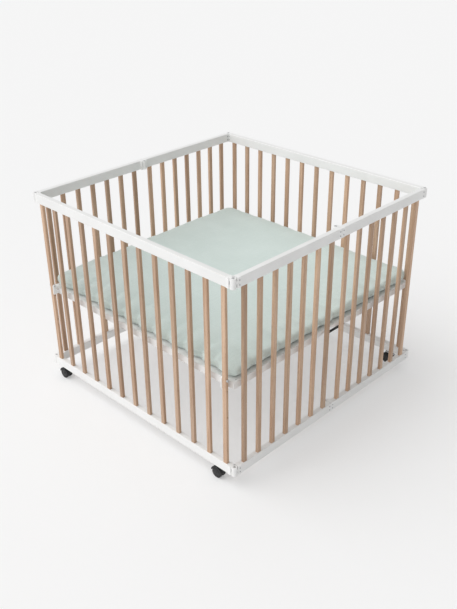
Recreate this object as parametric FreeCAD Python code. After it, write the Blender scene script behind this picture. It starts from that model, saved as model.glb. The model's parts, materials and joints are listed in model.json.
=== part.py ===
import FreeCAD, Part
import math
import os

# Square folding playpen. Origin on the ground at the middle of the pen, +Z up.
# The two whole panels lie along X at y = -D/2 (near) and y = +D/2 (far).
# The two split panels lie along Y at x = +W/2 (right) and x = -W/2 (left), hinged at y = 0.

V = FreeCAD.Vector

# ---- driving dimensions, millimetres
width = 1000.0              # outer size along X
depth = 1000.0              # outer size along Y
frame_height = 715.0        # underside of bottom rail to top of top rail
castor_height = 50.0        # ground to underside of bottom rail
rail_height = 34.0
rail_depth = 20.0
slat_width = 17.0
slat_thick = 11.0
slat_plane = 8.5            # slat mid-plane, in from the outer face
whole_slats = 13
whole_pitch = 75.8
half_slats = 7
half_pitch = 67.7
half_first = 39.6           # middle of the pen to the nearest slat of a half panel
pivot_inset = 9.0           # all end pivots lie this far in from the outer faces
fold_offset = 19.0          # middle pins lie this far inside or below the end pivots
pivot_height = 405.0        # floor pivot above the ground
floor_top = 393.0
board_thick = 6.0
batten_height = 18.0
batten_width = 18.0
floor_half_x = 474.0        # floor half extents
floor_half_y = 474.0
fold_limit = 80.0           # degrees that each half panel and floor half turns
running = 0.05              # radial clearance of running fits
mattress_half = 478.0
mattress_thick = 57.0
corner_radius = 30.0
pin_radius = 2.5
bolt_radius = 2.5
height_holes = (365.0, 265.0, 135.0)   # empty holes for the other floor heights
wheel_radius = 20.0
castor_x = 428.0
castor_y = 485.0            # castor swivel axes
castor_offset = 14.0

# ---- derived
hx = width / 2
hy = depth / 2
z0 = castor_height
z1 = z0 + rail_height
z3 = castor_height + frame_height
z2 = z3 - rail_height
px = hx - pivot_inset
py = hy - pivot_inset
mid_x = px - fold_offset
fold_z = pivot_height - fold_offset
board_low = floor_top - board_thick
batten_low = board_low - batten_height
third = rail_height / 3
knuckle_radius = pivot_inset
neck_half = 5.5             # half width of the neck between a hinge block and its knuckle
block_end = 30.0            # wooden rails stop this far from the outer corner
mid_block = 14.0            # half length of the middle hinge
mid_gap = 0.75
knuckle_gap = 0.2
mid_knuckle = 6.0

os.makedirs("parts", exist_ok=True)


def box(x0, x1, y0, y1, za, zb):
    return Part.makeBox(x1 - x0, y1 - y0, zb - za, V(x0, y0, za))


def rod(radius, start, end):
    axis = V(*end) - V(*start)
    return Part.makeCylinder(radius, axis.Length, V(*start), axis)


def eased(solid, radius, direction=None):
    """Round the edges that run along a direction, or all of them."""
    edges = []
    for edge in solid.Edges:
        a, b = edge.Vertexes[0].Point, edge.Vertexes[-1].Point
        run = (b - a).normalize()
        if direction is None or abs(run.dot(direction)) > 0.99:
            edges.append(edge)
    return solid.makeFillet(radius, edges)


def mirror_x(shape):
    return shape.mirror(V(0, 0, 0), V(1, 0, 0))


def mirror_y(shape):
    return shape.mirror(V(0, 0, 0), V(0, 1, 0))


def save(name, solids):
    shape = solids[0] if len(solids) == 1 else Part.makeCompound(solids)
    shape.exportStep("parts/" + name + ".step")


# ---- whole panels
def whole_rail(za, zb):
    rail = box(-hx + block_end, hx - block_end, -hy, -hy + rail_depth, za, zb)
    return eased(rail, 2.5, V(1, 0, 0))


def slat(x, y, along_x):
    sx, sy = (slat_width, slat_thick) if along_x else (slat_thick, slat_width)
    bar = box(x - sx / 2, x + sx / 2, y - sy / 2, y + sy / 2, z1, z2)
    return eased(bar, 2.0, V(0, 0, 1))


def whole_panel_slats():
    slats = []
    last = (whole_slats - 1) // 2
    for i in range(-last, last + 1):
        bar = slat(i * whole_pitch, -hy + slat_plane, True)
        if abs(i) == last:
            for z in (pivot_height,) + height_holes:
                x = i * whole_pitch
                bar = bar.cut(rod(bolt_radius + running, (x - 20, -py, z), (x + 20, -py, z)))
        slats.append(bar)
    return slats


def knuckle_bands(za, zb, outer):
    """Heights of the hinge knuckles: the two outer thirds, or the middle one."""
    if outer:
        return [(za, za + third - knuckle_gap), (zb - third + knuckle_gap, zb)]
    return [(za + third + knuckle_gap, zb - third - knuckle_gap)]


def whole_corner(za, zb):
    block = box(hx - block_end, px - 10, -hy, -hy + rail_depth, za, zb)
    for a, b in knuckle_bands(za, zb, True):
        neck = box(px - 10.5, px, -py - neck_half, -py + neck_half, a, b)
        block = block.fuse(neck).fuse(rod(knuckle_radius, (px, -py, a), (px, -py, b)))
    block = block.cut(rod(pin_radius + running, (px, -py, za - 1), (px, -py, zb + 1)))
    return block.removeSplitter()


def corner_pin(za, zb):
    return rod(pin_radius, (px, -py, za + 1.0), (px, -py, zb - 1.0))


def floor_bolt():
    last = (whole_slats - 1) // 2 * whole_pitch + slat_width / 2
    shank = rod(bolt_radius, (last - slat_width - 6, -py, pivot_height), (last + 1, -py, pivot_height))
    head = rod(5.0, (last + 0.2, -py, pivot_height), (last + 3.4, -py, pivot_height))
    return shank.fuse(head).removeSplitter()


# ---- half panels, drawn for the right side, near half
def half_rail(za, zb):
    rail = box(hx - rail_depth, hx, -hy + block_end + 2, -mid_block, za, zb)
    return eased(rail, 2.5, V(0, 1, 0))


def half_corner(za, zb):
    block = box(hx - rail_depth, hx, -hy + rail_depth + 0.5, -hy + block_end + 2, za, zb)
    for a, b in knuckle_bands(za, zb, False):
        neck = box(px - neck_half, px + neck_half, -py, -hy + rail_depth + 1, a, b)
        block = block.fuse(neck).fuse(rod(knuckle_radius, (px, -py, a), (px, -py, b)))
    block = block.cut(rod(pin_radius + running, (px, -py, za - 1), (px, -py, zb + 1)))
    return block.removeSplitter()


def mid_leaf(za, zb, outer):
    leaf = box(hx - rail_depth, hx, -mid_block, -mid_gap, za, zb)
    leaf = leaf.fuse(box(mid_x + 0.5, hx - rail_depth + 1, -mid_block, -mid_gap, za, zb))
    for a, b in knuckle_bands(za, zb, outer):
        leaf = leaf.fuse(rod(mid_knuckle, (mid_x, 0, a), (mid_x, 0, b)))
    for a, b in knuckle_bands(za, zb, not outer):
        low, high = a - 2 * knuckle_gap, b + 2 * knuckle_gap
        leaf = leaf.cut(rod(mid_knuckle + 0.4, (mid_x, 0, low), (mid_x, 0, high)))
    leaf = leaf.cut(rod(pin_radius + running, (mid_x, 0, za - 1), (mid_x, 0, zb + 1)))
    return leaf.removeSplitter()


def half_slats_solids():
    solids = []
    for i in range(half_slats):
        solids.append(slat(hx - slat_plane, -(half_first + i * half_pitch), False))
    return solids


def mid_pin(za, zb):
    return rod(pin_radius, (mid_x, 0, za + 1.0), (mid_x, 0, zb - 1.0))


# ---- floor, drawn for the near half
def floor_board():
    board = box(-floor_half_x, floor_half_x, -floor_half_y, -4.0, board_low, floor_top)
    return eased(board, 1.5, V(0, 0, 1))


def tapered_batten(x0, x1):
    """Batten along Y whose underside rises towards the fold line, so the halves close on each other."""
    rise = (fold_z - batten_low) * math.tan(math.radians(fold_limit)) + 6
    outline = [(-floor_half_y, batten_low), (-rise, batten_low), (-6.0, fold_z + 0.2),
               (-6.0, board_low), (-floor_half_y, board_low)]
    points = [V(x0, y, z) for y, z in outline]
    face = Part.Face(Part.makePolygon(points + points[:1]))
    return face.extrude(V(x1 - x0, 0, 0))


def floor_battens():
    inner = floor_half_x - batten_width
    solids = [tapered_batten(inner, floor_half_x), tapered_batten(-floor_half_x, -inner)]
    solids.append(tapered_batten(-batten_width / 2, batten_width / 2))
    for x0, x1 in ((batten_width / 2, inner), (-inner, -batten_width / 2)):
        solids.append(box(x0, x1, -floor_half_y, -floor_half_y + batten_width, batten_low, board_low))
    return solids


def pivot_bracket(extra):
    x1 = (whole_slats - 1) // 2 * whole_pitch - slat_width / 2 - 0.8
    x0 = x1 - 4.5
    low = batten_low + 4
    plate = box(x0, x1, -py, -floor_half_y, low, board_low)
    plate = plate.fuse(box(x0, x1, -py - 7, -py + 7, low, pivot_height))
    plate = plate.fuse(rod(7.0, (x0, -py, pivot_height), (x1, -py, pivot_height)))
    hole = rod(bolt_radius + extra, (x0 - 1, -py, pivot_height), (x1 + 1, -py, pivot_height))
    return plate.cut(hole).removeSplitter()


hinge_places = (-300.0, -100.0, 100.0, 300.0)
hinge_length = 60.0
barrel = 3.2
hinge_pin = 1.5


def floor_hinge_leaf(x, outer):
    """One leaf of a butt hinge on the underside of the boards, knuckles on the fold line."""
    step = hinge_length / 3
    start = x - hinge_length / 2
    leaf = box(start, start + hinge_length, -28.0, -barrel - 0.5, fold_z + 0.2, board_low)
    for i in ((0, 2) if outer else (1,)):
        a = start + i * step + 0.2
        b = start + (i + 1) * step - 0.2
        leaf = leaf.fuse(box(a, b, -barrel - 1, -0.5, fold_z + 0.2, board_low))
        leaf = leaf.fuse(rod(barrel, (a, 0, fold_z), (b, 0, fold_z)))
    cut = rod(hinge_pin + running, (start - 1, 0, fold_z), (start + hinge_length + 1, 0, fold_z))
    return leaf.cut(cut).removeSplitter()


def floor_hinge_pin(x):
    half = hinge_length / 2 - 0.5
    return rod(hinge_pin, (x - half, 0, fold_z), (x + half, 0, fold_z))


# ---- lock bail under the far floor half, right side
bail_x = 446.0
bail_z = board_low - 5.5
bail_drop = 36.0
bail_wire = 4.5
bail_from = 24.0
bail_to = 114.0


def lock_bail():
    low = bail_z - bail_drop
    bail = rod(bail_wire, (bail_x, bail_from, low), (bail_x, bail_to, low))
    for y, inward in ((bail_from, 12.0), (bail_to, -12.0)):
        bail = bail.fuse(rod(bail_wire, (bail_x, y, low), (bail_x, y, bail_z)))
        bail = bail.fuse(rod(bail_wire, (bail_x, y, bail_z), (bail_x, y + inward, bail_z)))
        bail = bail.fuse(Part.makeSphere(bail_wire, V(bail_x, y, low)))
        bail = bail.fuse(Part.makeSphere(bail_wire, V(bail_x, y, bail_z)))
    return bail.removeSplitter()


def bail_clip(y):
    clip = box(bail_x - 8, bail_x + 8, y - 3, y + 3, bail_z - bail_wire - 1.5, board_low)
    return clip.cut(rod(bail_wire + 0.08, (bail_x, y - 4, bail_z), (bail_x, y + 4, bail_z)))


# ---- castors, drawn at a swivel axis
def castor_plate(x, y):
    plate = eased(box(x - 22, x + 22, y - 10, y + 10, z0 - 2.5, z0), 3.0, V(0, 0, 1))
    return plate.fuse(rod(4.0, (x, y, z0 - 14), (x, y, z0 - 2))).removeSplitter()


def castor_housing(x, y):
    ax = x - castor_offset
    web = rod(16.0, (ax, y - 3.5, wheel_radius), (ax, y + 3.5, wheel_radius))
    hood = rod(wheel_radius + 4, (ax, y - 14, wheel_radius), (ax, y + 14, wheel_radius))
    hollow = rod(wheel_radius + 1.6, (ax, y - 15, wheel_radius), (ax, y - 3.5, wheel_radius))
    hollow = hollow.fuse(rod(wheel_radius + 1.6, (ax, y + 3.5, wheel_radius), (ax, y + 15, wheel_radius)))
    below = box(ax - 40, ax + 40, y - 16, y + 16, -5, wheel_radius + 3)
    hood = hood.cut(hollow).cut(below)
    boss = rod(8.0, (x, y, z0 - 20), (x, y, z0 - 3.0))
    clear = rod(wheel_radius + 1.2, (ax, y - 15, wheel_radius), (ax, y - 3.5, wheel_radius))
    clear = clear.fuse(rod(wheel_radius + 1.2, (ax, y + 3.5, wheel_radius), (ax, y + 15, wheel_radius)))
    body = web.fuse(hood).fuse(boss.cut(clear))
    body = body.cut(rod(4.0 + running, (x, y, z0 - 15), (x, y, z0)))
    body = body.cut(rod(3.0, (ax, y - 20, wheel_radius), (ax, y + 20, wheel_radius)))
    return body.removeSplitter()


def castor_axle(x, y):
    ax = x - castor_offset
    return rod(3.0, (ax, y - 13, wheel_radius), (ax, y + 13, wheel_radius))


def castor_wheels(x, y):
    ax = x - castor_offset
    wheels = []
    for y0 in (y - 13.0, y + 4.0):
        wheel = rod(wheel_radius, (ax, y0, wheel_radius), (ax, y0 + 9, wheel_radius))
        rims = [e for e in wheel.Edges if abs(e.Length - 2 * math.pi * wheel_radius) < 0.5]
        wheel = wheel.makeFillet(1.5, rims)
        bore = rod(3.0 + running, (ax, y0 - 1, wheel_radius), (ax, y0 + 10, wheel_radius))
        wheels.append(wheel.cut(bore))
    return wheels


# ---- mattress: plain closed solid
def mattress():
    m = mattress_half
    pad = box(-m, m, -m, m, floor_top + 0.4, floor_top + 0.4 + mattress_thick)
    return eased(pad, corner_radius, V(0, 0, 1))


levels = ((z0, z1), (z2, z3))


def write_whole(side, flip):
    def put(name, solids):
        save(side + "_" + name, [flip(s) for s in solids])

    put("top_rail", [whole_rail(z2, z3)])
    put("bottom_rail", [whole_rail(z0, z1)])
    put("slats", whole_panel_slats())
    corners = [whole_corner(a, b) for a, b in levels]
    pins = [corner_pin(a, b) for a, b in levels]
    bolt = floor_bolt()
    put("corner_hinges", corners + [mirror_x(c) for c in corners])
    put("corner_pins", pins + [mirror_x(p) for p in pins])
    put("floor_bolts", [bolt, mirror_x(bolt)])
    put("castor_plates", [castor_plate(x, -castor_y) for x in (-castor_x, castor_x)])


def write_half(side, outer, flip):
    def put(name, solids):
        save(side + "_" + name, [flip(s) for s in solids])

    put("top_rail", [half_rail(z2, z3)])
    put("bottom_rail", [half_rail(z0, z1)])
    put("slats", half_slats_solids())
    hinges = [half_corner(a, b) for a, b in levels] + [mid_leaf(a, b, outer) for a, b in levels]
    put("hinge_ends", hinges)


def write_floor(side, flip, extra, outer):
    def put(name, solids):
        save(side + "_" + name, [flip(s) for s in solids])

    bracket = pivot_bracket(extra)
    put("floor_board", [floor_board()])
    put("floor_battens", floor_battens())
    put("floor_brackets", [bracket, mirror_x(bracket)])
    put("floor_hinges", [floor_hinge_leaf(x, outer) for x in hinge_places])


def same(shape):
    return shape


def both(shape):
    return mirror_x(mirror_y(shape))


write_whole("near", same)
write_whole("far", mirror_y)
write_half("right_near", True, same)
write_half("right_far", False, mirror_y)
write_half("left_near", True, mirror_x)
write_half("left_far", False, both)
write_floor("near", same, running, True)
write_floor("far", mirror_y, 0.4, False)
save("floor_hinge_pins", [floor_hinge_pin(x) for x in hinge_places])
pins = [mid_pin(a, b) for a, b in levels]
save("right_mid_pins", pins)
save("left_mid_pins", [mirror_x(p) for p in pins])
save("right_lock_bail", [lock_bail()])
save("left_lock_bail", [mirror_x(lock_bail())])
clips = [bail_clip(bail_from + 8), bail_clip(bail_to - 8)]
save("lock_bail_clips", clips + [mirror_x(c) for c in clips])
save("mattress", [mattress()])

corners = {"near_left": (-1, -1), "near_right": (1, -1), "far_left": (-1, 1), "far_right": (1, 1)}
for corner, (sx, sy) in corners.items():
    place = (sx * castor_x, sy * castor_y)
    save("castor_" + corner + "_housing", [castor_housing(*place)])
    save("castor_" + corner + "_axle", [castor_axle(*place)])
    save("castor_" + corner + "_wheels", castor_wheels(*place))
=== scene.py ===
import bpy
import json
import math
import numpy as np
from mathutils import Matrix, Vector


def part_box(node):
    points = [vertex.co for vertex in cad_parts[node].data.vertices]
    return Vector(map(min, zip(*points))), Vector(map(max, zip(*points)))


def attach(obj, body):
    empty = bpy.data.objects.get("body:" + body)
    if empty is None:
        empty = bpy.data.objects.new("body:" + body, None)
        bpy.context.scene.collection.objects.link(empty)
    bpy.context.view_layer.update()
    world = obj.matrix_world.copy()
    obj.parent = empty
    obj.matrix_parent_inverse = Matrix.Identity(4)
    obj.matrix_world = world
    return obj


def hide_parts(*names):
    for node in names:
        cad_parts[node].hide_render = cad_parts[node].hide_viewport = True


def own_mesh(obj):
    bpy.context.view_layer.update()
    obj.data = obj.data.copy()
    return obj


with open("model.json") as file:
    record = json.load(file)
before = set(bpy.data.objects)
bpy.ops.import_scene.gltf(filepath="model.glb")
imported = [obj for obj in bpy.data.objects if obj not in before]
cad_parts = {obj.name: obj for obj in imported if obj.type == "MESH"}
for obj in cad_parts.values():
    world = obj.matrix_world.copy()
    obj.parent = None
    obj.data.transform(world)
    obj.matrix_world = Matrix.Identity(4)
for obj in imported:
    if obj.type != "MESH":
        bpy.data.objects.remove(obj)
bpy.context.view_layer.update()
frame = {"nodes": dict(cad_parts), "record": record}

scene = bpy.context.scene
scene.view_settings.view_transform = "Standard"
print("frame loaded:", len(frame["nodes"]), "nodes")


# small helpers used all through

def clearSelection():
    for thing in bpy.context.selected_objects:
        thing.select_set(False)


def makeActive(thing):
    clearSelection()
    thing.select_set(True)
    bpy.context.view_layer.objects.active = thing


def settlePlace(thing):
    makeActive(thing)
    bpy.ops.object.transform_apply(location=True, rotation=True, scale=True)


def applyModifier(thing, kind, **settings):
    modifier = thing.modifiers.new(kind.lower(), kind)
    for key, value in settings.items():
        setattr(modifier, key, value)
    makeActive(thing)
    bpy.ops.object.modifier_apply(modifier=modifier.name)


def editFaces(thing, wanted):
    makeActive(thing)
    bpy.ops.object.mode_set(mode="EDIT")
    bpy.ops.mesh.select_mode(type="FACE")
    bpy.ops.mesh.select_all(action="DESELECT")
    bpy.ops.object.mode_set(mode="OBJECT")
    for face in thing.data.polygons:
        face.select = wanted(face.center, face.normal)
    bpy.ops.object.mode_set(mode="EDIT")


def editEdges(thing, wanted):
    makeActive(thing)
    bpy.ops.object.mode_set(mode="EDIT")
    bpy.ops.mesh.select_mode(type="EDGE")
    bpy.ops.mesh.select_all(action="DESELECT")
    bpy.ops.object.mode_set(mode="OBJECT")
    points = thing.data.vertices
    for edge in thing.data.edges:
        start = points[edge.vertices[0]].co
        end = points[edge.vertices[1]].co
        edge.select = wanted(start, end)
    bpy.ops.object.mode_set(mode="EDIT")


def leaveEdit():
    bpy.ops.object.mode_set(mode="OBJECT")


def smoothByAngle(thing, degrees=35):
    makeActive(thing)
    bpy.ops.object.shade_smooth_by_angle(angle=math.radians(degrees))


def placedCopy(model, name, spot, facing, turn=0.0):
    copy = model.copy()
    copy.data = model.data.copy()
    copy.name = name
    scene.collection.objects.link(copy)
    aim = Vector(facing).to_track_quat("Z", "Y").to_matrix().to_4x4()
    spin = Matrix.Rotation(turn, 4, "Z")
    copy.data.transform(Matrix.Translation(spot) @ aim @ spin)
    return copy


def joinedAs(name, copies):
    clearSelection()
    for copy in copies:
        copy.select_set(True)
    bpy.context.view_layer.objects.active = copies[0]
    if len(copies) > 1:
        bpy.ops.object.join()
    piece = bpy.context.view_layer.objects.active
    piece.name = name
    piece.data.name = name
    return piece


def discard(thing):
    bpy.data.objects.remove(thing, do_unlink=True)


# camera
cameraView = {
    "place": (1.90160, -1.93435, 1.78819),
    "turn": (1.06891, 0.00878, 0.77581),
    "lens": 47.58,
}


def setUpCamera():
    data = bpy.data.cameras.new("mainCamera")
    data.lens = cameraView["lens"]
    data.sensor_width = 36.0
    camera = bpy.data.objects.new("mainCamera", data)
    camera.location = cameraView["place"]
    camera.rotation_euler = cameraView["turn"]
    scene.collection.objects.link(camera)
    scene.camera = camera


# studio light: one wide soft sun and a sky that is brighter on the near left
studio = {
    "sunStrength": 0.95,
    "sunAngle": 55.0,
    "sunFrom": (-0.75, -0.80, 1.50),
    "skyFrom": (-0.50, -0.75, 0.45),
    "skyLow": 0.10,
    "skyHigh": 1.06,
    "floorColour": (0.66, 0.66, 0.66, 1.0),
    "floorGlow": 0.26,
    "floorHalf": 60.0,
}


def setUpLight():
    data = bpy.data.lights.new("softSun", "SUN")
    data.energy = studio["sunStrength"]
    data.angle = math.radians(studio["sunAngle"])
    sun = bpy.data.objects.new("softSun", data)
    sun.rotation_euler = Vector(studio["sunFrom"]).to_track_quat("Z", "Y").to_euler()
    scene.collection.objects.link(sun)

    world = bpy.data.worlds.new("studioSky")
    world.use_nodes = True
    scene.world = world
    tree = world.node_tree
    back = tree.nodes["Background"]
    back.inputs["Color"].default_value = (1.0, 1.0, 1.0, 1.0)
    place = tree.nodes.new("ShaderNodeTexCoord")
    dot = tree.nodes.new("ShaderNodeVectorMath")
    dot.operation = "DOT_PRODUCT"
    dot.inputs[1].default_value = Vector(studio["skyFrom"]).normalized()
    level = tree.nodes.new("ShaderNodeMapRange")
    level.interpolation_type = "SMOOTHSTEP"
    level.inputs["From Min"].default_value = -1.0
    level.inputs["From Max"].default_value = 1.0
    level.inputs["To Min"].default_value = studio["skyLow"]
    level.inputs["To Max"].default_value = studio["skyHigh"]
    tree.links.new(place.outputs["Generated"], dot.inputs[0])
    tree.links.new(dot.outputs["Value"], level.inputs["Value"])
    tree.links.new(level.outputs["Result"], back.inputs["Strength"])


setUpCamera()
setUpLight()
print("camera and light set")


# node helpers

def addNode(tree, kind, spot, **settings):
    node = tree.nodes.new(kind)
    node.location = spot
    for key, value in settings.items():
        setattr(node, key, value)
    return node


def feed(tree, socket, value):
    if isinstance(value, bpy.types.NodeSocket):
        tree.links.new(value, socket)
    else:
        socket.default_value = value


def calc(tree, operation, first, second=0.0, clamp=False):
    node = addNode(tree, "ShaderNodeMath", (0, 0), operation=operation, use_clamp=clamp)
    feed(tree, node.inputs[0], first)
    feed(tree, node.inputs[1], second)
    return node.outputs[0]


def ramp(tree, value, low, high, toLow=0.0, toHigh=1.0, kind="SMOOTHSTEP"):
    node = addNode(tree, "ShaderNodeMapRange", (0, 0), interpolation_type=kind)
    feed(tree, node.inputs["Value"], value)
    feed(tree, node.inputs["From Min"], low)
    feed(tree, node.inputs["From Max"], high)
    feed(tree, node.inputs["To Min"], toLow)
    feed(tree, node.inputs["To Max"], toHigh)
    return node.outputs["Result"]


def stretched(tree, vector, scale):
    node = addNode(tree, "ShaderNodeVectorMath", (0, 0), operation="MULTIPLY")
    feed(tree, node.inputs[0], vector)
    feed(tree, node.inputs[1], scale)
    return node.outputs[0]


def split(tree, vector):
    node = addNode(tree, "ShaderNodeSeparateXYZ", (0, 0))
    tree.links.new(vector, node.inputs[0])
    return node.outputs[0], node.outputs[1], node.outputs[2]


def noise(tree, vector, scale, detail=3.0, roughness=0.5):
    node = addNode(tree, "ShaderNodeTexNoise", (0, 0))
    feed(tree, node.inputs["Vector"], vector)
    feed(tree, node.inputs["Scale"], scale)
    node.inputs["Detail"].default_value = detail
    node.inputs["Roughness"].default_value = roughness
    return node.outputs["Fac"]


def blendColour(tree, amount, first, second):
    node = addNode(tree, "ShaderNodeMix", (0, 0), data_type="RGBA", blend_type="MIX")
    feed(tree, node.inputs["Factor"], amount)
    feed(tree, node.inputs["A"], first)
    feed(tree, node.inputs["B"], second)
    return node.outputs["Result"]


def newGroup(name, inputs, outputs):
    tree = bpy.data.node_groups.new(name, "ShaderNodeTree")
    kinds = {"v": "NodeSocketVector", "f": "NodeSocketFloat", "c": "NodeSocketColor"}
    for label, kind, value in inputs:
        socket = tree.interface.new_socket(name=label, in_out="INPUT", socket_type=kinds[kind])
        if value is not None:
            socket.default_value = value
    for label, kind in outputs:
        tree.interface.new_socket(name=label, in_out="OUTPUT", socket_type=kinds[kind])
    start = addNode(tree, "NodeGroupInput", (-600, 0))
    end = addNode(tree, "NodeGroupOutput", (600, 0))
    return tree, start.outputs, end.inputs


def useGroup(tree, group, **values):
    node = addNode(tree, "ShaderNodeGroup", (0, 0), node_tree=group)
    for label, value in values.items():
        feed(tree, node.inputs[label], value)
    return node.outputs


# shared effects

def buildGrain():
    # long streaks up the wood, with short dark flecks
    tree, given, out = newGroup(
        "beechGrain",
        [("Vector", "v", None), ("Light", "c", (0.7, 0.5, 0.3, 1)), ("Dark", "c", (0.5, 0.3, 0.2, 1)),
         ("Fleck", "c", (0.3, 0.17, 0.1, 1)), ("Streaks", "f", 90.0), ("Flecks", "f", 700.0),
         ("Pitch", "v", (0.0758, 1.0, 1.0)), ("Tint", "f", 0.2)],
        [("Color", "c"), ("Gloss", "f"), ("Height", "f")],
    )
    vector = given["Vector"]
    cell = addNode(tree, "ShaderNodeVectorMath", (0, 0), operation="DIVIDE")
    feed(tree, cell.inputs[0], vector)
    feed(tree, cell.inputs[1], given["Pitch"])
    whole = addNode(tree, "ShaderNodeVectorMath", (0, 0), operation="ADD")
    feed(tree, whole.inputs[0], cell.outputs[0])
    feed(tree, whole.inputs[1], (0.5, 0.5, 0.5))
    step = addNode(tree, "ShaderNodeVectorMath", (0, 0), operation="FLOOR")
    feed(tree, step.inputs[0], whole.outputs[0])
    flat = stretched(tree, step.outputs[0], (1.0, 1.0, 0.0))
    chance = addNode(tree, "ShaderNodeTexWhiteNoise", (0, 0), noise_dimensions="3D")
    feed(tree, chance.inputs["Vector"], flat)
    shifted = addNode(tree, "ShaderNodeVectorMath", (0, 0), operation="ADD")
    feed(tree, shifted.inputs[0], vector)
    feed(tree, shifted.inputs[1], chance.outputs["Color"])
    streak = noise(tree, stretched(tree, shifted.outputs[0], (1.0, 1.0, 0.035)), given["Streaks"], 4.0, 0.6)
    broad = noise(tree, stretched(tree, shifted.outputs[0], (1.0, 1.0, 0.12)), 22.0, 2.0)
    fleck = noise(tree, stretched(tree, shifted.outputs[0], (1.0, 1.0, 0.10)), given["Flecks"], 1.0)
    fleckMask = ramp(tree, fleck, 0.62, 0.70)
    amount = calc(tree, "ADD", calc(tree, "MULTIPLY", streak, 0.7), calc(tree, "MULTIPLY", broad, 0.45))
    body = blendColour(tree, ramp(tree, amount, 0.38, 0.76), given["Dark"], given["Light"])
    flecked = blendColour(tree, calc(tree, "MULTIPLY", fleckMask, 0.45), body, given["Fleck"])
    shade = ramp(tree, chance.outputs["Value"], 0.0, 1.0, 1.0, 0.0, "LINEAR")
    tone = calc(tree, "SUBTRACT", 1.0, calc(tree, "MULTIPLY", shade, given["Tint"]))
    tinted = addNode(tree, "ShaderNodeVectorMath", (0, 0), operation="SCALE")
    feed(tree, tinted.inputs[0], flecked)
    feed(tree, tinted.inputs["Scale"], tone)
    feed(tree, out["Color"], tinted.outputs[0])
    feed(tree, out["Gloss"], streak)
    feed(tree, out["Height"], calc(tree, "SUBTRACT", streak, calc(tree, "MULTIPLY", fleckMask, 0.5)))
    return tree


def buildEdgeWear():
    # rubbed outer corners of the rails, broken up by noise
    tree, given, out = newGroup(
        "edgeWear",
        [("Vector", "v", None), ("Reach", "f", 0.5), ("Low", "f", 0.0), ("High", "f", 1.0),
         ("Width", "f", 0.003)],
        [("Mask", "f")],
    )
    x, y, z = split(tree, given["Vector"])
    outer = calc(tree, "MAXIMUM", calc(tree, "ABSOLUTE", x), calc(tree, "ABSOLUTE", y))
    inset = calc(tree, "SUBTRACT", given["Reach"], given["Width"])
    side = ramp(tree, outer, inset, given["Reach"])
    upper = ramp(tree, z, calc(tree, "SUBTRACT", given["High"], given["Width"]), given["High"])
    lower = ramp(tree, z, calc(tree, "ADD", given["Low"], given["Width"]), given["Low"])
    edge = calc(tree, "MULTIPLY", side, calc(tree, "MAXIMUM", upper, lower))
    patch = ramp(tree, noise(tree, given["Vector"], 45.0, 4.0, 0.7), 0.52, 0.72)
    feed(tree, out["Mask"], calc(tree, "MULTIPLY", edge, patch, True))
    return tree


def buildSpeckle():
    # fine unevenness of paint, laminate and moulded plastic
    tree, given, out = newGroup(
        "fineSpeckle",
        [("Vector", "v", None), ("Fine", "f", 900.0), ("Broad", "f", 8.0)],
        [("Cloud", "f"), ("Grit", "f")],
    )
    feed(tree, out["Cloud"], noise(tree, given["Vector"], given["Broad"], 4.0, 0.55))
    feed(tree, out["Grit"], noise(tree, given["Vector"], given["Fine"], 2.0, 0.6))
    return tree


def buildDust():
    # a little dust near the ground
    tree, given, out = newGroup(
        "lowDust", [("Vector", "v", None), ("Top", "f", 0.06)], [("Mask", "f")])
    z = split(tree, given["Vector"])[2]
    low = ramp(tree, z, given["Top"], 0.0)
    patch = ramp(tree, noise(tree, given["Vector"], 120.0, 5.0, 0.7), 0.45, 0.75)
    feed(tree, out["Mask"], calc(tree, "MULTIPLY", low, patch, True))
    return tree


def buildWeave():
    # plain weave: threads over and under, each a little different
    tree, given, out = newGroup(
        "plainWeave",
        [("Vector", "v", None), ("Threads", "f", 1400.0), ("Uneven", "f", 0.25)],
        [("Thread", "f"), ("Height", "f"), ("Slub", "f")],
    )
    u, v = split(tree, given["Vector"])[:2]
    across = calc(tree, "MULTIPLY", u, given["Threads"])
    along = calc(tree, "MULTIPLY", v, given["Threads"])
    warp = calc(tree, "ABSOLUTE", calc(tree, "SINE", calc(tree, "MULTIPLY", across, math.pi)))
    weft = calc(tree, "ABSOLUTE", calc(tree, "SINE", calc(tree, "MULTIPLY", along, math.pi)))
    parity = calc(tree, "ADD", calc(tree, "FLOOR", across), calc(tree, "FLOOR", along))
    over = calc(tree, "MULTIPLY", calc(tree, "FRACT", calc(tree, "MULTIPLY", parity, 0.5)), 2.0)
    first = calc(tree, "MULTIPLY", warp, over)
    second = calc(tree, "MULTIPLY", weft, calc(tree, "SUBTRACT", 1.0, over))
    height = calc(tree, "ADD", first, second)
    long1 = noise(tree, stretched(tree, given["Vector"], (1.0, 0.02, 1.0)), 420.0, 2.0)
    long2 = noise(tree, stretched(tree, given["Vector"], (0.02, 1.0, 1.0)), 420.0, 2.0)
    slub = calc(tree, "MULTIPLY", calc(tree, "ADD", long1, long2), 0.5)
    raised = calc(tree, "ADD", height, calc(tree, "MULTIPLY", slub, given["Uneven"]))
    feed(tree, out["Thread"], height)
    feed(tree, out["Height"], raised)
    feed(tree, out["Slub"], slub)
    return tree


grainGroup = buildGrain()
wearGroup = buildEdgeWear()
speckleGroup = buildSpeckle()
dustGroup = buildDust()
weaveGroup = buildWeave()


def newMaterial(name):
    material = bpy.data.materials.new(name)
    material.use_nodes = True
    tree = material.node_tree
    shader = tree.nodes["Principled BSDF"]
    place = addNode(tree, "ShaderNodeTexCoord", (-1200, 0)).outputs["Object"]
    return material, tree, shader, place


def addBump(tree, shader, height, strength, distance):
    bump = addNode(tree, "ShaderNodeBump", (-200, -300))
    bump.inputs["Strength"].default_value = strength
    bump.inputs["Distance"].default_value = distance
    feed(tree, bump.inputs["Height"], height)
    feed(tree, shader.inputs["Normal"], bump.outputs[0])


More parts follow.
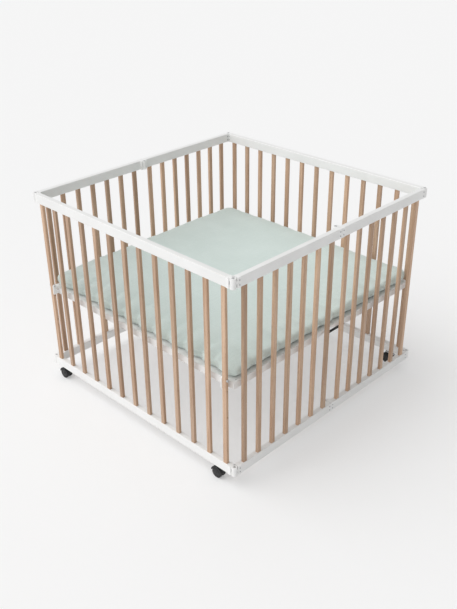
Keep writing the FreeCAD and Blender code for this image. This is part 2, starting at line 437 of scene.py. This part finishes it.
beech = {
    "light": (0.720, 0.500, 0.345, 1.0),
    "dark": (0.500, 0.305, 0.190, 1.0),
    "fleck": (0.300, 0.150, 0.080, 1.0),
    "streaks": 140.0,
    "flecks": 900.0,
    "wholePitch": (0.0758, 0.5, 1.0),
    "halfPitch": (0.5, 0.0677, 1.0),
    "tint": 0.30,
    "roughness": (0.42, 0.56),
}


def beechMaterial(name, pitch):
    material, tree, shader, place = newMaterial(name)
    grain = useGroup(tree, grainGroup, Vector=place, Light=beech["light"], Dark=beech["dark"],
                     Fleck=beech["fleck"], Streaks=beech["streaks"], Flecks=beech["flecks"],
                     Pitch=pitch, Tint=beech["tint"])
    feed(tree, shader.inputs["Base Color"], grain["Color"])
    low, high = beech["roughness"]
    feed(tree, shader.inputs["Roughness"], ramp(tree, grain["Gloss"], 0.3, 0.7, high, low))
    addBump(tree, shader, grain["Height"], 0.35, 0.0004)
    shader.inputs["Coat Weight"].default_value = 0.12
    shader.inputs["Coat Roughness"].default_value = 0.35
    return material


# lower and upper faces of the rails
railEdges = {"top": (0.731, 0.765), "bottom": (0.050, 0.084)}

paint = {
    "colour": (0.860, 0.860, 0.853, 1.0),
    "shadow": (0.815, 0.815, 0.806, 1.0),
    "worn": (0.640, 0.560, 0.450, 1.0),
    "dust": (0.55, 0.53, 0.50, 1.0),
    "roughness": (0.34, 0.46),
    "wearWidth": 0.0030,
}


def paintMaterial(name, low, high):
    # satin paint over wood, worn at the edges between heights low and high
    material, tree, shader, place = newMaterial(name)
    speckle = useGroup(tree, speckleGroup, Vector=place, Fine=650.0, Broad=9.0)
    wear = useGroup(tree, wearGroup, Vector=place, Reach=0.5, Low=low, High=high, Width=paint["wearWidth"])
    dust = useGroup(tree, dustGroup, Vector=place, Top=0.070)
    cloud = ramp(tree, speckle["Cloud"], 0.3, 0.7)
    body = blendColour(tree, cloud, paint["shadow"], paint["colour"])
    worn = blendColour(tree, calc(tree, "MULTIPLY", wear["Mask"], 0.45), body, paint["worn"])
    dusty = blendColour(tree, calc(tree, "MULTIPLY", dust["Mask"], 0.18), worn, paint["dust"])
    feed(tree, shader.inputs["Base Color"], dusty)
    smooth, rough = paint["roughness"]
    feed(tree, shader.inputs["Roughness"], ramp(tree, speckle["Cloud"], 0.3, 0.7, rough, smooth))
    addBump(tree, shader, speckle["Grit"], 0.12, 0.0003)
    return material


laminate = {
    "colour": (0.860, 0.860, 0.852, 1.0),
    "shadow": (0.820, 0.820, 0.812, 1.0),
    "fine": 1500.0,
}


def laminateMaterial():
    material, tree, shader, place = newMaterial("whiteLaminate")
    speckle = useGroup(tree, speckleGroup, Vector=place, Fine=laminate["fine"], Broad=5.0)
    cloud = ramp(tree, speckle["Cloud"], 0.3, 0.7)
    body = blendColour(tree, cloud, laminate["shadow"], laminate["colour"])
    feed(tree, shader.inputs["Base Color"], body)
    feed(tree, shader.inputs["Roughness"], ramp(tree, speckle["Grit"], 0.3, 0.7, 0.38, 0.50))
    addBump(tree, shader, speckle["Grit"], 0.20, 0.0002)
    return material


hingePlastic = {
    "colour": (0.890, 0.890, 0.885, 1.0),
    "shadow": (0.850, 0.850, 0.842, 1.0),
    "worn": (0.70, 0.69, 0.67, 1),
    "wearWidth": 0.0035,
}


def hingeMaterial():
    material, tree, shader, place = newMaterial("mouldedWhite")
    speckle = useGroup(tree, speckleGroup, Vector=place, Fine=2200.0, Broad=40.0)
    low, high = railEdges["top"]
    wear = useGroup(tree, wearGroup, Vector=place, Reach=0.5, Low=low, High=high,
                    Width=hingePlastic["wearWidth"])
    cloud = ramp(tree, speckle["Cloud"], 0.3, 0.7)
    body = blendColour(tree, cloud, hingePlastic["shadow"], hingePlastic["colour"])
    worn = blendColour(tree, calc(tree, "MULTIPLY", wear["Mask"], 0.5), body, hingePlastic["worn"])
    feed(tree, shader.inputs["Base Color"], worn)
    feed(tree, shader.inputs["Roughness"], ramp(tree, speckle["Grit"], 0.3, 0.7, 0.30, 0.44))
    addBump(tree, shader, speckle["Grit"], 0.25, 0.0002)
    return material


darkPlastic = {
    "colour": (0.009, 0.009, 0.010, 1.0),
    "pale": (0.018, 0.018, 0.019, 1.0),
    "dust": (0.20, 0.19, 0.18, 1),
    "dustTop": 0.045,
}


def castorMaterial(name, fine, rough, dustAmount):
    material, tree, shader, place = newMaterial(name)
    speckle = useGroup(tree, speckleGroup, Vector=place, Fine=fine, Broad=60.0)
    dust = useGroup(tree, dustGroup, Vector=place, Top=darkPlastic["dustTop"])
    cloud = ramp(tree, speckle["Cloud"], 0.3, 0.7)
    body = blendColour(tree, cloud, darkPlastic["colour"], darkPlastic["pale"])
    dusty = blendColour(tree, calc(tree, "MULTIPLY", dust["Mask"], dustAmount), body, darkPlastic["dust"])
    feed(tree, shader.inputs["Base Color"], dusty)
    feed(tree, shader.inputs["Roughness"], ramp(tree, speckle["Grit"], 0.3, 0.7, rough, rough + 0.14))
    addBump(tree, shader, speckle["Grit"], 0.35, 0.0003)
    return material


zinc = {"colour": (0.620, 0.625, 0.630, 1.0), "dull": (0.470, 0.475, 0.480, 1.0)}


def zincMaterial():
    material, tree, shader, place = newMaterial("brightZinc")
    speckle = useGroup(tree, speckleGroup, Vector=place, Fine=1400.0, Broad=220.0)
    body = blendColour(tree, ramp(tree, speckle["Cloud"], 0.35, 0.65), zinc["dull"], zinc["colour"])
    feed(tree, shader.inputs["Base Color"], body)
    shader.inputs["Metallic"].default_value = 1.0
    feed(tree, shader.inputs["Roughness"], ramp(tree, speckle["Grit"], 0.3, 0.7, 0.28, 0.46))
    addBump(tree, shader, speckle["Grit"], 0.15, 0.0001)
    return material


powderCoat = {
    "black": ((0.012, 0.012, 0.013, 1.0), (0.028, 0.028, 0.030, 1.0)),
    "white": ((0.800, 0.800, 0.792, 1.0), (0.860, 0.860, 0.852, 1.0)),
}


def powderCoatMaterial(name, tones):
    material, tree, shader, place = newMaterial(name)
    speckle = useGroup(tree, speckleGroup, Vector=place, Fine=1800.0, Broad=90.0)
    body = blendColour(tree, ramp(tree, speckle["Cloud"], 0.3, 0.7), tones[0], tones[1])
    feed(tree, shader.inputs["Base Color"], body)
    feed(tree, shader.inputs["Roughness"], ramp(tree, speckle["Grit"], 0.3, 0.7, 0.42, 0.60))
    addBump(tree, shader, speckle["Grit"], 0.5, 0.0003)
    return material


cotton = {
    "light": (0.720, 0.815, 0.785, 1.0),
    "dark": (0.655, 0.755, 0.722, 1.0),
    "threads": 1100.0,
    "seamHeight": 0.4055,
    "seamHalf": 0.0011,
    "seamFrom": (0.445, 0.455),
    "stitches": 320.0,
    # gap is painted shade: a darker colour laid between the threads of the weave
    "gap": (0.30, 0.38, 0.34, 1.0),
    "seam": (0.25, 0.32, 0.28, 1.0),
    "stitch": (0.62, 0.72, 0.67, 1.0),
}


def cottonMaterial():
    # woven cover with painted shade in the gaps between its threads, and a line of stitches round its side
    material, tree, shader, place = newMaterial("mintCotton")
    cloth = addNode(tree, "ShaderNodeUVMap", (-1200, -300), uv_map="clothMap").outputs[0]
    weave = useGroup(tree, weaveGroup, Vector=cloth, Threads=cotton["threads"], Uneven=0.3)
    cloud = noise(tree, place, 7.0, 4.0, 0.6)
    slub = calc(tree, "MULTIPLY", weave["Slub"], 0.6)
    tone = calc(tree, "ADD", slub, calc(tree, "MULTIPLY", cloud, 0.4))
    body = blendColour(tree, ramp(tree, tone, 0.35, 0.65), cotton["dark"], cotton["light"])
    # painted shade: the cloth is darkened towards the gaps between threads, where the weave dips
    gap = calc(tree, "MULTIPLY", calc(tree, "SUBTRACT", 1.0, weave["Thread"]), 0.30)
    threads = blendColour(tree, gap, body, cotton["gap"])
    x, y, z = split(tree, place)
    outer = calc(tree, "MAXIMUM", calc(tree, "ABSOLUTE", x), calc(tree, "ABSOLUTE", y))
    offset = calc(tree, "ABSOLUTE", calc(tree, "SUBTRACT", z, cotton["seamHeight"]))
    onSide = ramp(tree, outer, *cotton["seamFrom"])
    line = calc(tree, "MULTIPLY", ramp(tree, offset, cotton["seamHalf"], 0.0), onSide)
    run = calc(tree, "SINE", calc(tree, "MULTIPLY", calc(tree, "ADD", x, y), cotton["stitches"] * math.tau))
    stitch = calc(tree, "MULTIPLY", line, ramp(tree, run, -0.2, 0.2))
    seamed = blendColour(tree, calc(tree, "MULTIPLY", line, 0.5), threads, cotton["seam"])
    sewn = blendColour(tree, stitch, seamed, cotton["stitch"])
    feed(tree, shader.inputs["Base Color"], sewn)
    feed(tree, shader.inputs["Roughness"], ramp(tree, weave["Thread"], 0.0, 1.0, 0.92, 0.80))
    shader.inputs["Sheen Weight"].default_value = 0.25
    shader.inputs["Sheen Roughness"].default_value = 0.5
    shader.inputs["Specular IOR Level"].default_value = 0.25
    raised = calc(tree, "MULTIPLY", calc(tree, "SUBTRACT", stitch, line), 1.5)
    height = calc(tree, "ADD", weave["Height"], raised)
    addBump(tree, shader, height, 0.5, 0.0003)
    return material


finishes = {
    "white_floor": laminateMaterial(),
    "white_plastic": hingeMaterial(),
    "black_plastic": castorMaterial("castorHood", 1600.0, 0.42, 0.12),
    "black_tread": castorMaterial("castorTread", 2600.0, 0.58, 0.35),
    "zinc_steel": zincMaterial(),
    "black_metal": powderCoatMaterial("blackPowderCoat", powderCoat["black"]),
    "white_metal": powderCoatMaterial("whitePowderCoat", powderCoat["white"]),
    "mattress_fabric": cottonMaterial(),
}
wholeBeech = beechMaterial("beechWholePanels", beech["wholePitch"])
halfBeech = beechMaterial("beechSplitPanels", beech["halfPitch"])
topPaint = paintMaterial("topRailPaint", *railEdges["top"])
bottomPaint = paintMaterial("bottomRailPaint", *railEdges["bottom"])


def finishOf(node, slot):
    if slot == "beech":
        return wholeBeech if node in ("near_slats", "far_slats") else halfBeech
    if slot == "white_wood":
        return topPaint if "top" in node else bottomPaint
    return finishes[slot]


def finishNodes():
    for part in frame["record"]["subparts"]:
        thing = frame["nodes"][part["node"]]
        material = finishOf(part["node"], part["material_slot"])
        if not thing.material_slots:
            thing.data.materials.append(material)
        for holder in thing.material_slots:
            holder.material = material


finishNodes()
print("materials made and assigned")


# fittings

def startDisc(sides, radius, tall):
    # upright disc standing on the origin
    clearSelection()
    bpy.ops.mesh.primitive_cylinder_add(vertices=sides, radius=radius, depth=tall, calc_uvs=False,
                                        location=(0, 0, tall / 2))
    disc = bpy.context.object
    settlePlace(disc)
    return disc


def editTop(thing):
    editFaces(thing, lambda centre, normal: normal.z > 0.9)


def addFitting(name, body, slot, copies):
    piece = joinedAs(name, copies)
    piece.data.materials.clear()
    piece.data.materials.append(finishes[slot])
    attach(piece, body)


screw = {
    "radius": 0.0025,
    "height": 0.0012,
    "sides": 24,
    "edge": 0.0006,
    "slotWidth": 0.0009,
    "slotLength": 0.0034,
    "slotDepth": 0.0008,
}


def modelScrew():
    # rounded screw head with a crossed slot
    tall = screw["height"]
    head = startDisc(screw["sides"], screw["radius"], tall)
    editTop(head)
    bpy.ops.mesh.bevel(offset=screw["edge"], segments=3, profile=0.6)
    leaveEdit()
    for quarter in (0, 1):
        clearSelection()
        depth = screw["slotDepth"]
        bpy.ops.mesh.primitive_cube_add(size=1.0, calc_uvs=False, location=(0, 0, tall - depth / 2 + 0.0005))
        cutter = bpy.context.object
        long, thin = screw["slotLength"], screw["slotWidth"]
        cutter.scale = (long, thin, depth + 0.001) if quarter else (thin, long, depth + 0.001)
        settlePlace(cutter)
        applyModifier(head, "BOOLEAN", operation="DIFFERENCE", object=cutter, solver="EXACT")
        discard(cutter)
    smoothByAngle(head, 30)
    return head


def addScrews(name, body, model, spots):
    # each screw stands at its own turn
    copies = []
    for i, (spot, facing) in enumerate(spots):
        copies.append(placedCopy(model, name, spot, facing, turn=0.7 + 1.3 * i))
    addFitting(name, body, "zinc_steel", copies)


railMiddles = (0.067, 0.748)
railTops = (0.0835, 0.7645)
screwSpread = 0.0075
cornerPin = 0.491
middlePin = 0.472


hingeScrews = {"outerX": 0.5, "innerX": 0.48, "cornerY": 0.4735, "middleY": 0.0085}


def hingeScrewSpots(side, end):
    # side is +1 for the right panel, end is +1 for its far half
    outer, inner = side * hingeScrews["outerX"], side * hingeScrews["innerX"]
    corner, middle = end * hingeScrews["cornerY"], end * hingeScrews["middleY"]
    spots = []
    for z in railMiddles:
        for rise in (-screwSpread, screwSpread):
            spots.append(((outer, corner, z + rise), (side, 0, 0)))
            spots.append(((outer, middle, z + rise), (side, 0, 0)))
            spots.append(((inner, corner, z + rise), (-side, 0, 0)))
    return spots


panelScrews = {"x": 0.4752, "y": 0.48}
plateScrews = {"x": 0.428, "y": 0.485, "z": 0.0475, "shift": 0.0165}


def panelScrewSpots(end):
    # inside of the corner blocks of a whole panel, and its castor plates
    spots = []
    for side in (-1, 1):
        for z in railMiddles:
            for rise in (-screwSpread, screwSpread):
                spots.append(((side * panelScrews["x"], end * panelScrews["y"], z + rise), (0, -end, 0)))
        for shift in (-plateScrews["shift"], plateScrews["shift"]):
            place = (side * plateScrews["x"] + shift, end * plateScrews["y"], plateScrews["z"])
            spots.append((place, (0, 0, -1)))
    return spots


boardScrews = {"x": (-0.465, 0.0, 0.465), "y": (0.09, 0.27, 0.455), "z": 0.3921}
leafScrews = {"x": (-0.3, -0.1, 0.1, 0.3), "shift": 0.020, "y": 0.0165, "z": 0.3862}


def floorScrewSpots(end):
    # through the board into its battens, and up through the hinge leaves
    spots = []
    for x in boardScrews["x"]:
        for y in boardScrews["y"]:
            spots.append(((x, end * y, boardScrews["z"]), (0, 0, 1)))
    for x in leafScrews["x"]:
        for shift in (-leafScrews["shift"], leafScrews["shift"]):
            spots.append(((x + shift, end * leafScrews["y"], leafScrews["z"]), (0, 0, -1)))
    return spots


pinCap = {"radius": 0.0046, "height": 0.0009, "dome": 0.0028, "rise": 0.0008, "sides": 28}


def modelPinCap():
    # low stepped head of a hinge pin
    cap = startDisc(pinCap["sides"], pinCap["radius"], pinCap["height"])
    editTop(cap)
    bpy.ops.mesh.inset(thickness=pinCap["radius"] - pinCap["dome"])
    bpy.ops.mesh.extrude_region_move(TRANSFORM_OT_translate={"value": (0, 0, pinCap["rise"])})
    bpy.ops.mesh.inset(thickness=0.0009)
    bpy.ops.transform.translate(value=(0, 0, 0.0003))
    leaveEdit()
    applyModifier(cap, "BEVEL", width=0.0003, segments=2, limit_method="ANGLE",
                  angle_limit=math.radians(40))
    smoothByAngle(cap, 40)
    return cap


def addCaps(name, body, model, spots):
    addFitting(name, body, "zinc_steel", [placedCopy(model, name, spot, facing) for spot, facing in spots])


boltCap = {"radius": 0.0048, "height": 0.0012, "socket": 0.0024, "depth": 0.0009, "x": 0.4666, "z": 0.405}


def modelBoltCap():
    # rounded bolt face with a six-sided socket
    tall = boltCap["height"]
    cap = startDisc(32, boltCap["radius"], tall)
    editTop(cap)
    bpy.ops.mesh.bevel(offset=0.0008, segments=3, profile=0.6)
    leaveEdit()
    clearSelection()
    bpy.ops.mesh.primitive_cylinder_add(vertices=6, radius=boltCap["socket"], depth=0.002, calc_uvs=False,
                                        location=(0, 0, tall - boltCap["depth"] + 0.001))
    cutter = bpy.context.object
    settlePlace(cutter)
    applyModifier(cap, "BOOLEAN", operation="DIFFERENCE", object=cutter, solver="EXACT")
    discard(cutter)
    smoothByAngle(cap, 30)
    return cap


hub = {
    "radius": 0.0125,
    "height": 0.0008,
    "ring": 0.0030,
    "boss": 0.0045,
    "dish": 0.0005,
    "rise": 0.0005,
    "sides": 40,
}


def modelHub():
    # dished hub cover with a raised boss
    cover = startDisc(hub["sides"], hub["radius"], hub["height"])
    editTop(cover)
    bpy.ops.mesh.inset(thickness=hub["ring"])
    bpy.ops.mesh.extrude_region_move(TRANSFORM_OT_translate={"value": (0, 0, -hub["dish"])})
    bpy.ops.mesh.inset(thickness=hub["radius"] - hub["ring"] - hub["boss"])
    bpy.ops.mesh.extrude_region_move(TRANSFORM_OT_translate={"value": (0, 0, hub["dish"] + hub["rise"])})
    leaveEdit()
    applyModifier(cover, "BEVEL", width=0.0003, segments=2, limit_method="ANGLE",
                  angle_limit=math.radians(40))
    smoothByAngle(cover, 40)
    return cover


def addFittings():
    model = modelScrew()
    addScrews("rightNearScrews", "right_near", model, hingeScrewSpots(1, -1))
    addScrews("rightFarScrews", "right_far", model, hingeScrewSpots(1, 1))
    addScrews("leftNearScrews", "left_near", model, hingeScrewSpots(-1, -1))
    addScrews("leftFarScrews", "left_far", model, hingeScrewSpots(-1, 1))
    addScrews("nearPanelScrews", "near_panel", model, panelScrewSpots(-1))
    addScrews("farPanelScrews", "far_panel", model, panelScrewSpots(1))
    addScrews("nearFloorScrews", "floor_near", model, floorScrewSpots(-1))
    addScrews("farFloorScrews", "floor_far", model, floorScrewSpots(1))
    discard(model)

    cap = modelPinCap()
    up = (0, 0, 1)
    for end, body in ((-1, "near_panel"), (1, "far_panel")):
        spots = [((side * cornerPin, end * cornerPin, z), up) for side in (-1, 1) for z in railTops]
        addCaps(body.replace("_panel", "PinCaps"), body, cap, spots)
    for side, body in ((1, "right_near"), (-1, "left_near")):
        spots = [((side * middlePin, 0, z), up) for z in railTops]
        addCaps(body.replace("_near", "MiddleCaps"), body, cap, spots)
    discard(cap)

    cap = modelBoltCap()
    for end, body in ((-1, "near_panel"), (1, "far_panel")):
        spots = [((side * boltCap["x"], end * cornerPin, boltCap["z"]), (side, 0, 0)) for side in (-1, 1)]
        addCaps(body.replace("_panel", "BoltCaps"), body, cap, spots)
    discard(cap)

    cover = modelHub()
    for corner in ("near_left", "near_right", "far_left", "far_right"):
        low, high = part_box("castor_" + corner + "_wheels")
        middle = (low + high) / 2
        spots = [((middle.x, low.y, middle.z), (0, -1, 0)), ((middle.x, high.y, middle.z), (0, 1, 0))]
        copies = [placedCopy(cover, "hub", spot, facing) for spot, facing in spots]
        addFitting("hubCovers_" + corner, "wheels_" + corner, "black_plastic", copies)
    discard(cover)


addFittings()
print("screws, pin caps, bolt caps and hub covers made")


# mattress

pad = {
    "half": 0.478,
    "startIn": 0.004,          # the pad starts this much smaller, then swells
    "bottom": 0.3936,
    "startTop": 0.4430,
    "cornerRadius": 0.026,
    "edgeRadius": 0.012,
    "voxel": 0.009,
    "pressure": 4.0,
    "frames": 20,
    "mostSwell": 0.0065,
    "crown": 0.0035,
    "creaseWidth": 0.0150,
    "creaseIn": 0.0170,
    "creaseDown": 0.0230,
    "creaseReach": 0.075,
    "creaseDepth": (0.70, 1.15),
    "creaseSpread": (0.85, 1.25),
    "creaseLean": 0.22,
    "creaseFlare": 0.09,       # creases grow twice as wide over this run inward
    "sideReach": 0.028,
    "bulge": 0.0035,
    "hold": {(1, -1): 1.0, (1, 1): 0.12, (0, 1): 0.50, (0, -1): 0.12},
    "cornerHold": 0.35,        # the slats nearest the corners press less
    "cornerFrom": 0.42,
    "tuck": 0.014,
    "limit": 0.4850,           # stays clear of the slats and the floor brackets
    "topFrom": 0.425,
    "sideHeight": 0.052,
    "waves": 7,
    "waveHeight": 0.0007,
    "seamDip": 0.0012,
    "seed": 11,
}
wholeSlats = [i * 0.0758 for i in range(-6, 7)]
halfSlats = [sign * (0.0396 + i * 0.0677) for i in range(7) for sign in (-1, 1)]


def readPoints(thing):
    flat = np.empty(len(thing.data.vertices) * 3)
    thing.data.vertices.foreach_get("co", flat)
    return flat.reshape(-1, 3)


def writePoints(thing, points):
    thing.data.vertices.foreach_set("co", points.ravel())
    thing.data.update()


def startPad():
    clearSelection()
    half = pad["half"] - pad["startIn"]
    low = pad["bottom"] + pad["startIn"] / 2
    high = pad["startTop"]
    bpy.ops.mesh.primitive_cube_add(size=2.0, location=(0, 0, (low + high) / 2))
    thing = bpy.context.object
    thing.scale = (half, half, (high - low) / 2)
    settlePlace(thing)
    editEdges(thing, lambda a, b: abs(a.z - b.z) > 0.01)
    bpy.ops.mesh.bevel(offset=pad["cornerRadius"], segments=8)
    leaveEdit()
    editFaces(thing, lambda centre, normal: abs(normal.z) > 0.9)
    bpy.ops.mesh.bevel(offset=pad["edgeRadius"], segments=5)
    leaveEdit()
    applyModifier(thing, "REMESH", mode="VOXEL", voxel_size=pad["voxel"])
    return thing


def swellPad(thing):
    # cloth under pressure, each point held to a small travel
    rest = readPoints(thing)
    cloth = thing.modifiers.new("swell", "CLOTH")
    settings = cloth.settings
    settings.use_pressure = True
    settings.uniform_pressure_force = pad["pressure"]
    settings.effector_weights.gravity = 0.0
    settings.quality = 5
    cloth.point_cache.frame_start = 1
    cloth.point_cache.frame_end = pad["frames"]
    for step in range(1, pad["frames"] + 1):
        scene.frame_set(step)
    makeActive(thing)
    bpy.ops.object.modifier_apply(modifier=cloth.name)
    scene.frame_set(1)
    moved = readPoints(thing) - rest
    far = np.linalg.norm(moved, axis=1, keepdims=True)
    most = pad["mostSwell"]
    moved *= most * np.tanh(far / most) / np.maximum(far, 1e-9)
    writePoints(thing, rest + moved)


def pressSide(points, along, across, slats, dice):
    # the slats press creases into one pair of sides, some harder than others
    side = np.sign(points[:, across])
    inward = pad["half"] - np.abs(points[:, across])
    tall = np.clip((points[:, 2] - pad["bottom"]) / pad["sideHeight"], 0.0, 1.0)
    crease = np.zeros(len(points))
    for place in slats:
        for sign in (-1, 1):
            depth = dice.uniform(*pad["creaseDepth"]) * pad["hold"][(across, sign)]
            if abs(place) > pad["cornerFrom"]:
                depth *= pad["cornerHold"]
            lean = dice.uniform(-pad["creaseLean"], pad["creaseLean"])
            wide = pad["creaseWidth"] * dice.uniform(*pad["creaseSpread"])
            gap = points[:, along] - place - lean * inward
            spread = wide * (1.0 + inward / pad["creaseFlare"])
            crease += (side == sign) * depth * np.exp(-np.abs(gap / spread) ** 1.35)
    near = np.exp(-(np.clip(inward, 0, None) / pad["sideReach"]) ** 2)
    onTop = np.clip((tall - 0.55) / 0.3, 0.0, 1.0)
    fade = np.exp(-(np.clip(inward - 0.004, 0, None) / pad["creaseReach"]) ** 1.4)
    body = 0.45 + 0.55 * np.sin(np.pi * np.clip(tall, 0.05, 0.95))
    shift = pad["bulge"] * (1.0 - crease) - pad["creaseIn"] * crease
    under = pad["tuck"] * np.clip(1.0 - tall / 0.35, 0.0, 1.0) ** 2
    points[:, across] += side * near * (shift * body - under)
    points[:, 2] -= pad["creaseDown"] * crease * fade * onTop


def shapePad(thing):
    dice = np.random.default_rng(pad["seed"])
    points = readPoints(thing)
    flatX = points[:, 0] / pad["half"]
    flatY = points[:, 1] / pad["half"]
    onTop = np.clip((points[:, 2] - pad["topFrom"]) / 0.012, 0.0, 1.0)
    points[:, 2] += onTop * pad["crown"] * np.clip(1 - flatX ** 4, 0, 1) * np.clip(1 - flatY ** 4, 0, 1)
    for _ in range(pad["waves"]):
        turn = dice.uniform(0, math.tau)
        count = dice.uniform(3.0, 11.0)
        start = dice.uniform(0, math.tau)
        run = (points[:, 0] * math.cos(turn) + points[:, 1] * math.sin(turn)) * count
        points[:, 2] += onTop * pad["waveHeight"] * np.sin(run * math.tau / 2 + start)
    pressSide(points, 0, 1, wholeSlats, dice)
    pressSide(points, 1, 0, halfSlats, dice)
    seam = np.exp(-((points[:, 2] - cotton["seamHeight"]) / 0.003) ** 2)
    for axis in (0, 1):
        outside = np.abs(points[:, axis]) > pad["half"] - 0.02
        points[:, axis] -= np.sign(points[:, axis]) * outside * seam * pad["seamDip"]
        points[:, axis] = np.clip(points[:, axis], -pad["limit"], pad["limit"])
    points[:, 2] = np.maximum(points[:, 2], pad["bottom"])
    writePoints(thing, points)


def makeMattress():
    thing = startPad()
    swellPad(thing)
    applyModifier(thing, "SUBSURF", levels=1, render_levels=1)
    shapePad(thing)
    applyModifier(thing, "SMOOTH", factor=0.5, iterations=2)
    thing.name = "mattressCover"
    thing.data.name = "mattressCover"
    makeActive(thing)
    bpy.ops.object.mode_set(mode="EDIT")
    bpy.ops.mesh.select_all(action="SELECT")
    bpy.ops.mesh.normals_make_consistent(inside=False)
    bpy.ops.uv.cube_project(cube_size=1.0)
    leaveEdit()
    thing.data.uv_layers.active.name = "clothMap"
    bpy.ops.object.shade_smooth()
    thing.data.materials.clear()
    thing.data.materials.append(finishes["mattress_fabric"])
    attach(thing, "mattress")
    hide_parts("mattress")
    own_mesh(thing)
    print("mattress made:", len(thing.data.polygons), "faces")


makeMattress()


# ground

def makeGround():
    clearSelection()
    bpy.ops.mesh.primitive_grid_add(x_subdivisions=8, y_subdivisions=8, size=2 * studio["floorHalf"],
                                    location=(0, 0, 0))
    ground = bpy.context.object
    ground.name = "studioFloor"
    material, tree, shader, place = newMaterial("studioFloor")
    cloud = ramp(tree, noise(tree, place, 3.0, 3.0), 0.3, 0.7, 0.985, 1.0)
    tone = blendColour(tree, cloud, (0.65, 0.65, 0.65, 1.0), studio["floorColour"])
    feed(tree, shader.inputs["Base Color"], tone)
    shader.inputs["Emission Color"].default_value = (1.0, 1.0, 1.0, 1.0)
    shader.inputs["Emission Strength"].default_value = studio["floorGlow"]
    shader.inputs["Roughness"].default_value = 0.9
    shader.inputs["Specular IOR Level"].default_value = 0.0
    ground.data.materials.append(material)


makeGround()
print("ground made")
